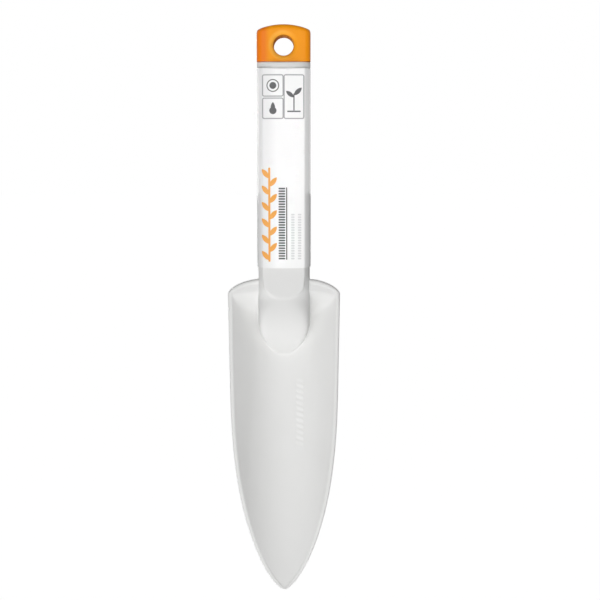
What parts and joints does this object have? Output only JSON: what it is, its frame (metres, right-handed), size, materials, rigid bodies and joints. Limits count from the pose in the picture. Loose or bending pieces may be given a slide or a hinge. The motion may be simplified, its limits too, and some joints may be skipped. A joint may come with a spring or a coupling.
{
  "type": "hand transplanter",
  "caption": "Narrow pointed plastic hand transplanter: deep scoop, nose-shaped neck, flat-fronted handle with a label sleeve and an orange end cap with a hanging hole.",
  "frame": {"origin": "centre of the hanging hole in the end cap, on the handle's axis", "axes": "+Z along the handle from the tip towards the cap, +Y out of the scoop's back, +X across the width; the scoop's open side faces -Y"},
  "size_m": [0.0574, 0.0226, 0.2948],
  "materials": {
    "white_plastic": "satin moulded, glass-fibre filled",
    "orange_plastic": "soft gloss",
    "label_paper": "printed, coated"
  },
  "bodies": {
    "root": {"blade_and_handle": "white_plastic", "end_cap": "orange_plastic", "label_sleeve": "label_paper"}
  },
  "joints": []
}
